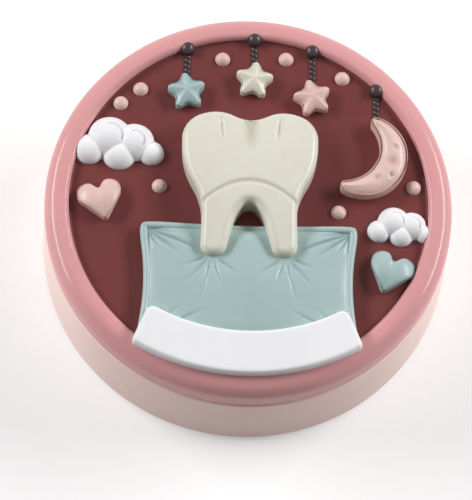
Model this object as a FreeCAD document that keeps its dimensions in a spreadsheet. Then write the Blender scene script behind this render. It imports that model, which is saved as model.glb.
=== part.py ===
"""A round keepsake box for milk teeth: a cast cup, a lift-off lid and the raised relief on the lid.

Millimetres, +Z up, the box standing on z = 0 and centred on the Z axis. The front of the lid faces -Y.
"""
import FreeCAD, Part
import math
import os

import Sketcher

# The driving dimensions: alias, value (millimetres, or degrees for an angle) and what it is.
SIZES = [
    ("box_radius", 40.0, "outer radius of the lid"),
    ("base_height", 18.8, "from the table to the seam between cup and lid"),
    ("base_step", 0.25, "how far the cup's mouth stands out past the lid's outer wall"),
    ("base_taper", 0.5, "how much wider the cup is at the table than at its mouth"),
    ("base_wall", 4.5, "thickness of the cup's wall at its mouth"),
    ("base_floor", 4.0, "thickness of the cup's floor"),
    ("cavity_round", 4.0, "rounding between the cavity's floor and wall"),
    ("foot_round", 1.8, "rounding of the cup's lower edge"),
    ("foot_ring", 5.0, "width of the ring that the cup stands on"),
    ("foot_recess", 1.0, "depth of the shallow recess inside the foot ring"),
    ("seam_round", 0.5, "rounding of the two edges that meet at the seam"),
    ("mouth_round", 0.8, "rounding of the cavity's upper edge"),
    ("lid_side", 3.8, "straight part of the lid's outer wall"),
    ("lid_shoulder", 3.0, "radius of the lid's outer shoulder"),
    ("rim_width", 4.8, "width of the raised rim round the field"),
    ("rim_round", 1.2, "radius of the rim's inner edge"),
    ("field_drop", 1.6, "how far the field lies below the top of the rim"),
    ("field_thickness", 1.4, "thickness of the field plate"),
    ("field_gap", 0.05, "glue gap round the field plate"),
    ("spigot_depth", 4.0, "how far the lid's locating ring reaches into the cup"),
    ("spigot_wall", 3.2, "thickness of the locating ring"),
    ("spigot_gap", 0.4, "slip-fit gap between the locating ring and the cavity"),
    ("spigot_lead", 0.8, "lead-in chamfer of the locating ring"),
    ("plaque_overlap", 1.2, "how far the middle of the plaque's front edge reaches onto the rim"),
    ("plaque_width", 8.7, "width of the plaque from front to back, at its middle"),
    ("plaque_length", 44.4, "length of the plaque's front edge from corner to corner"),
    ("plaque_bow", 6.1, "how far the plaque's front edge bows out between its corners"),
    ("plaque_back_length", 38.0, "length of the plaque's back edge from corner to corner"),
    ("plaque_back_bow", 5.2, "how far the plaque's back edge bows out between its corners"),
    ("plaque_height", 3.9, "height of the plaque over the field"),
    ("plaque_front_corner", 0.8, "radius of the plaque's two front corners"),
    ("plaque_back_corner", 1.6, "radius of the plaque's two back corners"),
    ("plaque_edge", 0.7, "rounding of the plaque's upper edge"),
    ("pillow_width", 42.0, "width of the pillow from corner to corner"),
    ("pillow_length", 24.0, "length of the pillow from front to back"),
    ("pillow_gap", 5.7, "from the pillow's front edge to the field's edge, under the plaque"),
    ("pillow_height", 3.6, "height of the pillow over the field"),
    ("pillow_crown", 160.0, "radius of the pillow's crowned top"),
    ("pillow_edge", 1.0, "rounding of the pillow's upper edge"),
    ("pillow_corner", 1.6, "radius of the pillow's corners"),
    ("pillow_side", 34.0, "radius of the pillow's drawn-in sides"),
    ("tooth_width", 27.0, "width of the tooth's crown"),
    ("tooth_length", 31.0, "length of the tooth from crown to root tips"),
    ("tooth_y", 3.0, "place of the tooth's middle"),
    ("tooth_height", 6.0, "height of the tooth over the field"),
    ("tooth_crown", 90.0, "radius of the tooth's crowned top"),
    ("tooth_edge", 1.6, "rounding of the tooth's upper edge"),
    ("moon_radius", 8.6, "outer radius of the crescent moon"),
    ("moon_bite", 1.2, "how much smaller than the moon's radius the crescent's round cut is"),
    ("moon_shift", 4.6, "distance from the moon's centre to the cut's centre"),
    ("moon_gap", 2.0, "clearance between the moon's outer edge and the field's edge"),
    ("moon_bearing", 24.0, "direction of the moon from the lid's middle, in degrees from the right"),
    ("moon_turn", -24.0, "turn of the moon about its centre, in degrees"),
    ("moon_height", 3.4, "height of the moon over the field"),
    ("moon_tip", 1.1, "radius of the moon's two tips"),
    ("moon_edge", 0.9, "rounding of the moon's upper edge"),
    ("star_radius", 4.6, "radius of a star over its points"),
    ("star_waist", 2.4, "radius of a star at its inner corners"),
    ("star_height", 2.6, "height of a star over the field"),
    ("star_crown", 11.0, "radius of a star's crowned top"),
    ("star_tip", 0.7, "radius of a star's points"),
    ("star_valley", 1.0, "radius of a star's inner corners"),
    ("star_edge", 0.5, "rounding of a star's upper edge"),
    ("heart_width", 9.0, "width of a heart"),
    ("heart_length", 8.6, "length of a heart"),
    ("heart_height", 2.8, "height of a heart over the field"),
    ("heart_crown", 12.0, "radius of a heart's crowned top"),
    ("heart_edge", 0.6, "rounding of a heart's upper edge"),
    ("cloud_width", 18.0, "width of the large cloud"),
    ("cloud_length", 11.0, "length of the large cloud"),
    ("cloud_height", 3.2, "height of the large cloud's tallest puff"),
    ("small_cloud_width", 13.0, "width of the small cloud"),
    ("small_cloud_length", 8.0, "length of the small cloud"),
    ("small_cloud_height", 2.6, "height of the small cloud's tallest puff"),
    ("string_radius", 0.85, "radius of a hanging string"),
    ("string_bead", 1.5, "radius of the bead at the top of a string"),
    ("string_sink", 0.35, "how deep a string's centre line lies under the field's surface"),
    ("dot_radius", 1.5, "radius of a small round dot"),
    ("dot_height", 1.1, "height of a small round dot over the field"),
    ("overrun", 1.0, "how far a cut reaches past the solid that it cuts"),
]

# Right half of the tooth's outline, from the dip in its crown round to the fork of its roots:
# shares of the half width, of the half length, and the corner's radius as a share of the half width.
TOOTH_SHARES = [
    (0.0, 0.80, 0.45),
    (0.46, 1.0, 0.55),
    (1.0, 0.86, 0.40),
    (0.98, 0.22, 1.20),
    (0.68, -0.24, 1.00),
    (0.70, -0.98, 0.16),
    (0.36, -1.0, 0.16),
    (0.20, -0.46, 0.60),
    (0.0, -0.22, 0.13),
]
# Right half of a heart's outline, in the same shares.
HEART_SHARES = [
    (0.0, 0.50, 0.12),
    (0.36, 0.98, 0.36),
    (0.88, 0.86, 0.36),
    (1.0, 0.30, 0.48),
    (0.0, -1.0, 0.16),
]
# How far the middle of a pillow's sides and ends is drawn in, as shares of its half sizes.
PILLOW_SIDE_SHARE = 0.94
PILLOW_END_SHARE = 0.93
# A cloud's puffs: shares of the half width and half length, and the puff's radius and height
# as shares of the half length and of the cloud's height.
CLOUD_SHARES = [
    (-0.62, -0.25, 0.60, 0.72),
    (-0.18, 0.22, 0.82, 1.00),
    (0.36, 0.05, 0.75, 0.90),
    (0.74, -0.35, 0.48, 0.62),
    (0.04, -0.42, 0.62, 0.74),
]
# Places on the lid as shares of the field's radius, across and along, with a turn in degrees.
STAR_PLACE_SHARES = {
    "star_left": (-0.36, 0.66, 8.0),
    "star_middle": (0.02, 0.74, -6.0),
    "star_right": (0.35, 0.64, 14.0),
}
HEART_PLACE_SHARES = {"heart_left": (-0.82, -0.02, 16.0), "heart_right": (0.78, -0.41, -20.0)}
CLOUD_PLACE_SHARES = {"cloud_left": (-0.74, 0.34), "cloud_right": (0.84, -0.12)}
DOT_PLACE_SHARES = [
    (-0.62, 0.68),
    (0.52, 0.78),
    (-0.50, 0.09),
    (0.50, -0.04),
    (-0.16, 0.88),
    (0.20, 0.89),
    (-0.73, 0.59),
    (0.92, 0.12),
]
# The pieces that lie over a piece of the relief, and that it is trimmed to.
OVER = {
    "pillow": ("tooth", "plaque"),
    "moon": ("tooth", "pillow"),
    "cloud_left": ("tooth",),
    "cloud_right": ("moon", "pillow"),
    "star_left": ("tooth",),
    "star_middle": ("tooth",),
    "star_right": ("tooth", "moon"),
    "heart_left": ("pillow", "cloud_left"),
    "heart_right": ("pillow", "plaque", "cloud_right"),
    "string_left": ("star_left",),
    "string_middle": ("star_middle",),
    "string_right": ("star_right",),
    "string_moon": ("moon",),
    "dots": ("tooth", "pillow", "moon", "cloud_left", "cloud_right", "star_left", "star_right"),
}
# Where the moon's string meets its upper tip, as shares of the moon's radius from its centre.
MOON_STRING_SHARES = (0.30, 0.85)
# How high a string's bead sits over the field, as a share of its radius.
BEAD_LIFT_SHARE = 0.3
# How much of a wall the roundings at its two ends may take up together.
WALL_SHARE = 0.97
# How far a crowning cut reaches out, as a share of the piece's larger half size.
CROWN_REACH_SHARE = 1.4
STAR_POINTS = 5
FULL_TURN = 360.0
FRONT_ANGLE = 270.0
# How near two measured values must be to count as the same.
SAME = 1e-4


class Length:
    """A length or an angle worked out from the sheet: its value now, and the expression that binds it."""

    def __init__(self, value, text):
        self.value = value
        self.text = text

    def __add__(self, other):
        return Length(self.value + other.value, f"({self.text} + {other.text})")

    def __sub__(self, other):
        return Length(self.value - other.value, f"({self.text} - {other.text})")

    def __mul__(self, share):
        return Length(self.value * share, f"({self.text} * ({share}))")

    def half(self):
        """Half of this length."""
        return Length(self.value / 2, f"({self.text} / 2)")

    def along(self, angle):
        """The part of this length along X when it points that many degrees round from X."""
        value = self.value * math.cos(math.radians(angle.value))
        return Length(value, f"({self.text} * cos({angle.text} * 1 deg))")

    def across(self, angle):
        """The part of this length along Y when it points that many degrees round from X."""
        value = self.value * math.sin(math.radians(angle.value))
        return Length(value, f"({self.text} * sin({angle.text} * 1 deg))")

    def leg(self, other):
        """The second leg of a right triangle with this long side and that first leg."""
        value = math.sqrt(self.value**2 - other.value**2)
        return Length(value, f"sqrt({self.text} ^ 2 - {other.text} ^ 2)")

    def ball(self, rise):
        """The radius of the ball whose cap has this radius at its foot and that rise."""
        value = (self.value**2 + rise.value**2) / (2 * rise.value)
        return Length(value, f"(({self.text} ^ 2 + {rise.text} ^ 2) / (2 * {rise.text}))")


ZERO = Length(0.0, "0")

doc = FreeCAD.newDocument("tooth_box")
sheet = doc.addObject("Spreadsheet::Sheet", "sizes")
for row, (alias, value, meaning) in enumerate(SIZES, start=1):
    sheet.set(f"A{row}", str(value))
    sheet.setAlias(f"A{row}", alias)
    sheet.set(f"B{row}", meaning)
doc.recompute()


def size(alias):
    """The driving dimension of that name."""
    return Length(float(sheet.get(alias)), f"sizes.{alias}")


# Levels and radii that several pieces share.
box_radius = size("box_radius")
seam_level = size("base_height")
rim_level = seam_level + size("lid_side") + size("lid_shoulder")
field_level = rim_level - size("field_drop")
field_floor = field_level - size("field_thickness")
field_radius = box_radius - size("rim_width")
mouth_radius = box_radius + size("base_step")
cavity_radius = mouth_radius - size("base_wall")
moon_distance = field_radius - size("moon_gap") - size("moon_radius")
moon_x = moon_distance.along(size("moon_bearing"))
moon_y = moon_distance.across(size("moon_bearing"))
overrun = size("overrun")

nodes = {}


def bind(target, **lengths):
    """Sets properties of an object to lengths, bound to the sheet."""
    for name, length in lengths.items():
        target.setExpression(name, length.text)


def place(target, x, y, z):
    """Binds the place of an object."""
    for axis, length in (("x", x), ("y", y), ("z", z)):
        target.setExpression(f"Placement.Base.{axis}", length.text)


def fixed(value):
    """A value that doesn't depend on the sheet."""
    return Length(value, f"({value})")


def turn(target, angle):
    """Turns an object about the vertical through its own origin."""
    target.Placement.Rotation = FreeCAD.Rotation(FreeCAD.Vector(0, 0, 1), angle.value)
    target.setExpression("Placement.Rotation.Angle", angle.text)


def keep(name, piece):
    """Makes a finished object the node of that name."""
    piece.Label = name
    nodes[name] = piece
    return piece


def new_sketch(body, name, plane_role):
    """A sketch on one of the body's own origin planes."""
    sketch = body.newObject("Sketcher::SketchObject", name)
    planes = [feature for feature in body.Origin.OriginFeatures if feature.Role == plane_role]
    sketch.AttachmentSupport = (planes[0], [""])
    sketch.MapMode = "FlatFace"
    return sketch


def hold_value(sketch, constraint, length):
    """Adds a constraint with a size, bound to the sheet."""
    index = sketch.addConstraint(constraint)
    sketch.setExpression(f"Constraints[{index}]", length.text)


def hold_point(sketch, geometry, position, x, y):
    """Holds a point of a sketch at lengths from the sketch's origin."""
    for kind, axis, length in (("DistanceX", -2, x), ("DistanceY", -1, y)):
        if length is ZERO:
            sketch.addConstraint(Sketcher.Constraint("PointOnObject", geometry, position, axis))
        else:
            hold_value(sketch, Sketcher.Constraint(kind, -1, 1, geometry, position, length.value), length)


def draw_polygon(sketch, points):
    """Draws a closed outline of straight lines through points given as pairs of lengths."""
    corners = [FreeCAD.Vector(x.value, y.value, 0) for x, y in points]
    count = len(corners)
    for i in range(count):
        sketch.addGeometry(Part.LineSegment(corners[i], corners[(i + 1) % count]))
    for i in range(count):
        sketch.addConstraint(Sketcher.Constraint("Coincident", i, 2, (i + 1) % count, 1))
        hold_point(sketch, i, 1, *points[i])


def draw_arc(sketch, centre, radius, start, end):
    """Draws an arc, anticlockwise from start to end in degrees, and returns its number."""
    middle = FreeCAD.Vector(centre[0].value, centre[1].value, 0)
    circle = Part.Circle(middle, FreeCAD.Vector(0, 0, 1), radius.value)
    number = sketch.addGeometry(Part.ArcOfCircle(circle, math.radians(start), math.radians(end)))
    if centre[0] is ZERO and centre[1] is ZERO:
        sketch.addConstraint(Sketcher.Constraint("Coincident", number, 3, -1, 1))
    else:
        hold_point(sketch, number, 3, *centre)
    hold_value(sketch, Sketcher.Constraint("Radius", number, radius.value), radius)
    return number


def draw_bow(sketch, reach, half_length, bow):
    """Draws an arc that bows forward to that reach, and returns its number and its left and right ends."""
    radius = half_length.ball(bow)
    lean = math.degrees(math.asin(half_length.value / radius.value))
    number = draw_arc(sketch, (ZERO, radius - reach), radius, FRONT_ANGLE - lean, FRONT_ANGLE + lean)
    ends = [(half_length * -1.0, bow - reach), (half_length, bow - reach)]
    for position, (x, _) in enumerate(ends, start=1):
        hold_value(sketch, Sketcher.Constraint("DistanceX", -1, 1, number, position, x.value), x)
    return number, ends


def draw_line(sketch, start, end):
    """Draws a straight line between two points given as pairs of lengths, and returns its number."""
    ends = [FreeCAD.Vector(x.value, y.value, 0) for x, y in (start, end)]
    return sketch.addGeometry(Part.LineSegment(*ends))


def join(sketch, *pairs):
    """Joins ends of lines and arcs: (number, end, number, end), where end 1 is the start and 2 the end."""
    for pair in pairs:
        sketch.addConstraint(Sketcher.Constraint("Coincident", *pair))


def revolve(body, name, points):
    """Turns a profile, drawn in the plane of X and Z, round the Z axis."""
    sketch = new_sketch(body, f"{name}_profile", "XZ_Plane")
    draw_polygon(sketch, points)
    feature = body.newObject("PartDesign::Revolution", f"{name}_turned")
    feature.Profile = sketch
    feature.ReferenceAxis = (sketch, ["V_Axis"])
    feature.Angle = FULL_TURN
    doc.recompute()
    return feature


def raise_outline(body, name, sketch, height):
    """Raises an outline from the body's own base plane."""
    feature = body.newObject("PartDesign::Pad", f"{name}_pad")
    feature.Profile = sketch
    bind(feature, Length=height)
    doc.recompute()
    return feature


def edge_names(feature, wanted):
    """The names of a feature's edges that pass a test."""
    found = [f"Edge{n}" for n, edge in enumerate(feature.Shape.Edges, start=1) if wanted(edge)]
    if not found:
        raise ValueError(f"{feature.Label}: no such edge")
    return found


def ring(radius, level):
    """A test for the circular edges of a turned solid at a radius and a level."""

    def wanted(edge):
        curve = edge.Curve
        if not isinstance(curve, Part.Circle):
            return False
        return abs(curve.Radius - radius.value) < SAME and abs(curve.Center.z - level.value) < SAME

    return wanted


def upright(points):
    """A test for the upright edges of a raised outline that stand at any of those points."""

    def wanted(edge):
        foot, head = edge.Vertexes[0].Point, edge.Vertexes[-1].Point
        if math.hypot(foot.x - head.x, foot.y - head.y) > SAME or abs(foot.z - head.z) < SAME:
            return False
        return any(math.hypot(foot.x - x.value, foot.y - y.value) < SAME for x, y in points)

    return wanted


def round_edges(body, name, base, wanted, radius):
    """Rounds the edges of a feature that pass a test."""
    feature = body.newObject("PartDesign::Fillet", name)
    feature.Base = (base, edge_names(base, wanted))
    bind(feature, Radius=radius)
    doc.recompute()
    return feature


def chamfer_edges(body, name, base, wanted, width):
    """Chamfers the edges of a feature that pass a test."""
    feature = body.newObject("PartDesign::Chamfer", name)
    feature.Base = (base, edge_names(base, wanted))
    bind(feature, Size=width)
    doc.recompute()
    return feature


def crown_top(body, name, height, radius, reach):
    """Turns the flat top of a raised outline into a shallow dome about the body's own Z axis."""
    sketch = new_sketch(body, f"{name}_dome", "XZ_Plane")
    middle = (ZERO, height - radius)
    lean = math.degrees(math.acos(reach.value / radius.value))
    dome = draw_arc(sketch, middle, radius, lean, FULL_TURN / 4)
    top = height + overrun
    low = height - radius + radius.leg(reach)
    axis_line = draw_line(sketch, (ZERO, height), (ZERO, top))
    top_line = draw_line(sketch, (ZERO, top), (reach, top))
    outer_line = draw_line(sketch, (reach, top), (reach, low))
    join(sketch, (dome, 2, axis_line, 1), (axis_line, 2, top_line, 1), (top_line, 2, outer_line, 1))
    join(sketch, (outer_line, 2, dome, 1))
    hold_point(sketch, top_line, 1, ZERO, top)
    hold_point(sketch, top_line, 2, reach, top)
    sketch.addConstraint(Sketcher.Constraint("PointOnObject", dome, 2, -2))
    sketch.addConstraint(Sketcher.Constraint("Vertical", outer_line))
    feature = body.newObject("PartDesign::Groove", f"{name}_crown")
    feature.Profile = sketch
    feature.ReferenceAxis = (sketch, ["V_Axis"])
    feature.Angle = FULL_TURN
    doc.recompute()
    return feature


def round_top(body, name, base, radius):
    """Rounds every edge of a feature's top face."""
    top_face = max(base.Shape.Faces, key=lambda face: face.CenterOfMass.z)
    return round_edges(
        body, f"{name}_edge", base, lambda edge: any(edge.isSame(side) for side in top_face.Edges), radius
    )


def new_body(name):
    """An empty body for one piece, with its base plane at its own z = 0."""
    return doc.addObject("PartDesign::Body", f"{name}_body")


def mirrored_outline(shares, half_width, half_length):
    """A closed outline from its right half: points as pairs of lengths, and each corner's radius."""
    right = []
    for across, along, corner in shares:
        x = ZERO if across == 0.0 else half_width * across
        right.append((x, half_length * along, half_width * corner))
    left = [(x * -1.0, y, corner) for x, y, corner in right[1:-1] if x is not ZERO]
    return right + left[::-1]


def fitted_corners(points, radii):
    """How much of each corner's radius fits: all of it, or less where the roundings of a wall would meet."""
    count = len(points)
    walls = []
    for i in range(count):
        (x, y), (next_x, next_y) = points[i], points[(i + 1) % count]
        walls.append(FreeCAD.Vector(next_x.value - x.value, next_y.value - y.value, 0))
    bends = [walls[i - 1].getAngle(walls[i]) for i in range(count)]
    reaches = [radius.value * math.tan(bend / 2) for radius, bend in zip(radii, bends)]
    fits = [1.0] * count
    for i, wall in enumerate(walls):
        j = (i + 1) % count
        part = WALL_SHARE * wall.Length / (reaches[i] + reaches[j])
        fits[i], fits[j] = min(fits[i], part), min(fits[j], part)
    return fits


def raise_mirrored(name, shares, width, length, height, crown, edge):
    """A raised piece with a mirrored outline, rounded corners, a crowned top and a rounded upper edge."""
    half_width, half_length = width.half(), length.half()
    outline = mirrored_outline(shares, half_width, half_length)
    body = new_body(name)
    sketch = new_sketch(body, f"{name}_outline", "XY_Plane")
    draw_polygon(sketch, [(x, y) for x, y, _ in outline])
    feature = raise_outline(body, name, sketch, height)
    fits = fitted_corners([(x, y) for x, y, _ in outline], [radius for _, _, radius in outline])
    for number, (across, along, corner) in enumerate(shares):
        pair = [(x, y) for x, y, radius in outline if radius.value == half_width.value * corner]
        pair = [(x, y) for x, y in pair if abs(abs(x.value) - half_width.value * across) < SAME]
        pair = [(x, y) for x, y in pair if abs(y.value - half_length.value * along) < SAME]
        radius = half_width * (corner * fits[number])
        feature = round_edges(body, f"{name}_corner_{number}", feature, upright(pair), radius)
    larger = max((half_width, half_length), key=lambda half: half.value)
    feature = crown_top(body, name, height, crown, larger * CROWN_REACH_SHARE)
    round_top(body, name, feature, edge)
    return body


def fuse(name, pieces):
    """Joins solids into one object."""
    joined = doc.addObject("Part::MultiFuse", name)
    joined.Shapes = pieces
    joined.Refine = True
    return joined


def cut(name, piece, tool):
    """Takes one object away from another."""
    rest = doc.addObject("Part::Cut", name)
    rest.Base = piece
    rest.Tool = tool
    return rest


def seat(name, piece, floor):
    """Trims a raised piece to what it stands on and to the pieces over it, and keeps it as a node."""
    piece = cut(f"{name}_seated", piece, floor)
    for other in OVER.get(name, ()):
        piece = cut(f"{name}_under_{other}", piece, nodes[other])
    doc.recompute()
    return keep(name, piece)


def ball_cap(name, x, y, foot, rise):
    """A ball whose cap stands on the field with that foot radius and rise."""
    radius = foot.ball(rise)
    ball = doc.addObject("Part::Sphere", name)
    bind(ball, Radius=radius)
    place(ball, x, y, field_level + rise - radius)
    return ball


def make_base_cup():
    """The cast cup: a tapered wall, a rounded cavity and a foot ring."""
    body = new_body("base_cup")
    foot_radius = mouth_radius + size("base_taper")
    ring_inside = foot_radius - size("foot_ring")
    recess = size("foot_recess")
    floor_level = size("base_floor")
    profile = [
        (ZERO, recess),
        (ring_inside, recess),
        (ring_inside, ZERO),
        (foot_radius, ZERO),
        (mouth_radius, seam_level),
        (cavity_radius, seam_level),
        (cavity_radius, floor_level),
        (ZERO, floor_level),
    ]
    feature = revolve(body, "base_cup", profile)
    feature = round_edges(body, "foot_edge", feature, ring(foot_radius, ZERO), size("foot_round"))
    cavity_foot = ring(cavity_radius, floor_level)
    feature = round_edges(body, "cavity_corner", feature, cavity_foot, size("cavity_round"))
    feature = round_edges(body, "base_seam_edge", feature, ring(mouth_radius, seam_level), size("seam_round"))
    round_edges(body, "mouth_edge", feature, ring(cavity_radius, seam_level), size("mouth_round"))
    return keep("base_cup", body)


def make_lid_cap():
    """The cast lid: a rounded rim round a sunk field, and a locating ring underneath."""
    body = new_body("lid_cap")
    spigot_outside = cavity_radius - size("spigot_gap")
    spigot_inside = spigot_outside - size("spigot_wall")
    spigot_level = seam_level - size("spigot_depth")
    profile = [
        (ZERO, seam_level),
        (spigot_inside, seam_level),
        (spigot_inside, spigot_level),
        (spigot_outside, spigot_level),
        (spigot_outside, seam_level),
        (box_radius, seam_level),
        (box_radius, rim_level),
        (field_radius, rim_level),
        (field_radius, field_floor),
        (ZERO, field_floor),
    ]
    feature = revolve(body, "lid_cap", profile)
    feature = round_edges(body, "lid_shoulder", feature, ring(box_radius, rim_level), size("lid_shoulder"))
    feature = round_edges(body, "rim_inner_edge", feature, ring(field_radius, rim_level), size("rim_round"))
    feature = round_edges(body, "lid_seam_edge", feature, ring(box_radius, seam_level), size("seam_round"))
    chamfer_edges(body, "spigot_lead", feature, ring(spigot_outside, spigot_level), size("spigot_lead"))
    return keep("lid_cap", body)


def make_field_plate():
    """The thin dark plate that fills the lid's recess."""
    plate = doc.addObject("Part::Cylinder", "field_plate")
    bind(plate, Radius=field_radius - size("field_gap"), Height=size("field_thickness"))
    place(plate, ZERO, ZERO, field_floor)
    return keep("field_plate", plate)


def make_lid_surface():
    """Everything of the lid under the relief: the lid itself, and all that lies below its field."""
    below = doc.addObject("Part::Cylinder", "below_field")
    bind(below, Radius=box_radius, Height=field_level)
    return fuse("lid_surface", [nodes["lid_cap"], below])


def make_plaque():
    """The bare plaque along the front of the rim: a bowed band with slanting ends."""
    front = field_radius + size("plaque_overlap")
    back = front - size("plaque_width")
    body = new_body("plaque")
    sketch = new_sketch(body, "plaque_outline", "XY_Plane")
    front_half, back_half = size("plaque_length").half(), size("plaque_back_length").half()
    front_arc, front_corners = draw_bow(sketch, front, front_half, size("plaque_bow"))
    back_arc, back_corners = draw_bow(sketch, back, back_half, size("plaque_back_bow"))
    for end, corners in enumerate(zip(front_corners, back_corners), start=1):
        side = draw_line(sketch, *corners)
        join(sketch, (front_arc, end, side, 1), (back_arc, end, side, 2))
    feature = raise_outline(body, "plaque", sketch, size("plaque_height"))
    front_radius, back_radius = size("plaque_front_corner"), size("plaque_back_corner")
    feature = round_edges(body, "plaque_front_corners", feature, upright(front_corners), front_radius)
    feature = round_edges(body, "plaque_back_corners", feature, upright(back_corners), back_radius)
    round_top(body, "plaque", feature, size("plaque_edge"))
    place(body, ZERO, ZERO, field_level)
    return seat("plaque", body, nodes["lid_cap"])


def make_tooth():
    """The large molar in the middle of the lid."""
    body = raise_mirrored(
        "tooth",
        TOOTH_SHARES,
        size("tooth_width"),
        size("tooth_length"),
        size("tooth_height"),
        size("tooth_crown"),
        size("tooth_edge"),
    )
    place(body, ZERO, size("tooth_y"), field_level)
    return keep("tooth", body)


def make_pillow():
    """The pillow under the tooth's roots, with drawn-in sides and a crowned top."""
    half_width = size("pillow_width").half()
    half_length = size("pillow_length").half()
    height = size("pillow_height")
    body = new_body("pillow")
    sketch = new_sketch(body, "pillow_outline", "XY_Plane")
    corners = [(half_width * x, half_length * y) for x, y in ((1, 1), (-1, 1), (-1, -1), (1, -1))]
    middles = [
        (ZERO, half_length * PILLOW_SIDE_SHARE),
        (half_width * -PILLOW_END_SHARE, ZERO),
        (ZERO, half_length * -PILLOW_SIDE_SHARE),
        (half_width * PILLOW_END_SHARE, ZERO),
    ]
    draw_polygon(sketch, [point for pair in zip(corners, middles) for point in pair])
    feature = raise_outline(body, "pillow", sketch, height)
    feature = round_edges(body, "pillow_sides", feature, upright(middles), size("pillow_side"))
    feature = round_edges(body, "pillow_corners", feature, upright(corners), size("pillow_corner"))
    feature = crown_top(body, "pillow", height, size("pillow_crown"), half_width * CROWN_REACH_SHARE)
    round_top(body, "pillow", feature, size("pillow_edge"))
    place(body, ZERO, half_length + size("pillow_gap") - field_radius, field_level)
    return seat("pillow", body, nodes["lid_cap"])


def make_moon():
    """The crescent moon: a disc with a round bite, rounded tips and a rounded upper edge."""
    radius, shift = size("moon_radius"), size("moon_shift")
    bite = radius - size("moon_bite")
    height = size("moon_height")
    reach_value = (radius.value**2 - bite.value**2 + shift.value**2) / (2 * shift.value)
    tip_angle = FULL_TURN / 2 - math.degrees(math.acos(reach_value / radius.value))
    tip = (
        Length(radius.value * math.cos(math.radians(tip_angle)), ""),
        Length(radius.value * math.sin(math.radians(tip_angle)), ""),
    )
    bite_angle = math.degrees(math.atan2(tip[1].value, tip[0].value + shift.value))
    body = new_body("moon")
    sketch = new_sketch(body, "moon_outline", "XY_Plane")
    outer_arc = draw_arc(sketch, (ZERO, ZERO), radius, -tip_angle, tip_angle)
    bite_arc = draw_arc(sketch, (shift * -1.0, ZERO), bite, -bite_angle, bite_angle)
    join(sketch, (outer_arc, 1, bite_arc, 1), (outer_arc, 2, bite_arc, 2))
    feature = raise_outline(body, "moon", sketch, height)
    tips = [tip, (tip[0], tip[1] * -1.0)]
    feature = round_edges(body, "moon_tips", feature, upright(tips), size("moon_tip"))
    round_top(body, "moon", feature, size("moon_edge"))
    turn(body, size("moon_turn"))
    place(body, moon_x, moon_y, field_level)
    return seat("moon", body, nodes["lid_cap"])


def make_star(name, across, along, degrees):
    """A hanging star with soft points and a crowned top."""
    outer, waist, height = size("star_radius"), size("star_waist"), size("star_height")
    step = FULL_TURN / STAR_POINTS
    first = FULL_TURN / 4
    spokes = [fixed(first + i * step) for i in range(STAR_POINTS)]
    between = [fixed(first + step / 2 + i * step) for i in range(STAR_POINTS)]
    points = [(outer.along(angle), outer.across(angle)) for angle in spokes]
    valleys = [(waist.along(angle), waist.across(angle)) for angle in between]
    body = new_body(name)
    sketch = new_sketch(body, f"{name}_outline", "XY_Plane")
    draw_polygon(sketch, [point for pair in zip(points, valleys) for point in pair])
    feature = raise_outline(body, name, sketch, height)
    feature = round_edges(body, f"{name}_valleys", feature, upright(valleys), size("star_valley"))
    feature = round_edges(body, f"{name}_points", feature, upright(points), size("star_tip"))
    feature = crown_top(body, name, height, size("star_crown"), outer * CROWN_REACH_SHARE)
    round_top(body, name, feature, size("star_edge"))
    turn(body, fixed(degrees))
    place(body, field_radius * across, field_radius * along, field_level)
    return seat(name, body, nodes["lid_cap"])


def make_heart(name, across, along, degrees):
    """A small heart with a crowned top."""
    body = raise_mirrored(
        name,
        HEART_SHARES,
        size("heart_width"),
        size("heart_length"),
        size("heart_height"),
        size("heart_crown"),
        size("heart_edge"),
    )
    turn(body, fixed(degrees))
    place(body, field_radius * across, field_radius * along, field_level)
    return seat(name, body, nodes["lid_cap"])


def make_cloud(name, across, along, width, length, height):
    """A cloud of joined round puffs."""
    puffs = []
    for number, (x_share, y_share, foot_share, rise_share) in enumerate(CLOUD_SHARES):
        x = field_radius * across + width.half() * x_share
        y = field_radius * along + length.half() * y_share
        foot = length.half() * foot_share
        puffs.append(ball_cap(f"{name}_puff_{number}", x, y, foot, height * rise_share))
    return seat(name, fuse(f"{name}_puffs", puffs), lid_surface)


def make_string(name, x, start):
    """A string that hangs straight down from a bead on the rim to the piece that it carries."""
    end = field_radius.leg(x)
    cord = doc.addObject("Part::Cylinder", f"{name}_cord")
    bind(cord, Radius=size("string_radius"), Height=end - start)
    cord.Placement.Rotation = FreeCAD.Rotation(FreeCAD.Vector(0, 0, 1), FreeCAD.Vector(0, 1, 0))
    place(cord, x, start, field_level - size("string_sink"))
    bead = doc.addObject("Part::Sphere", f"{name}_bead")
    bind(bead, Radius=size("string_bead"))
    place(bead, x, end, field_level + size("string_bead") * BEAD_LIFT_SHARE)
    return seat(name, fuse(f"{name}_whole", [cord, bead]), lid_surface)


def make_dots():
    """The small round dots scattered between the larger pieces."""
    dots = []
    for number, (across, along) in enumerate(DOT_PLACE_SHARES):
        x, y = field_radius * across, field_radius * along
        dots.append(ball_cap(f"dot_{number}", x, y, size("dot_radius"), size("dot_height")))
    return seat("dots", fuse("all_dots", dots), lid_surface)


def write_parts():
    """Checks every object and every node, and writes one file for each node."""
    doc.recompute()
    failed = [thing.Name for thing in doc.Objects if {"Invalid", "Error"} & set(thing.State)]
    if failed:
        raise RuntimeError(f"failed: {', '.join(failed)}")
    os.makedirs("parts", exist_ok=True)
    for name, piece in nodes.items():
        shape = piece.Shape
        if shape.isNull() or not shape.isValid() or not shape.Solids:
            raise RuntimeError(f"{name} has no valid shape")
        print(f"{name}: {len(shape.Solids)} solid(s), {shape.Volume:.1f} mm3, {len(shape.Faces)} faces")
        shape.exportStep(f"parts/{name}.step")


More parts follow.
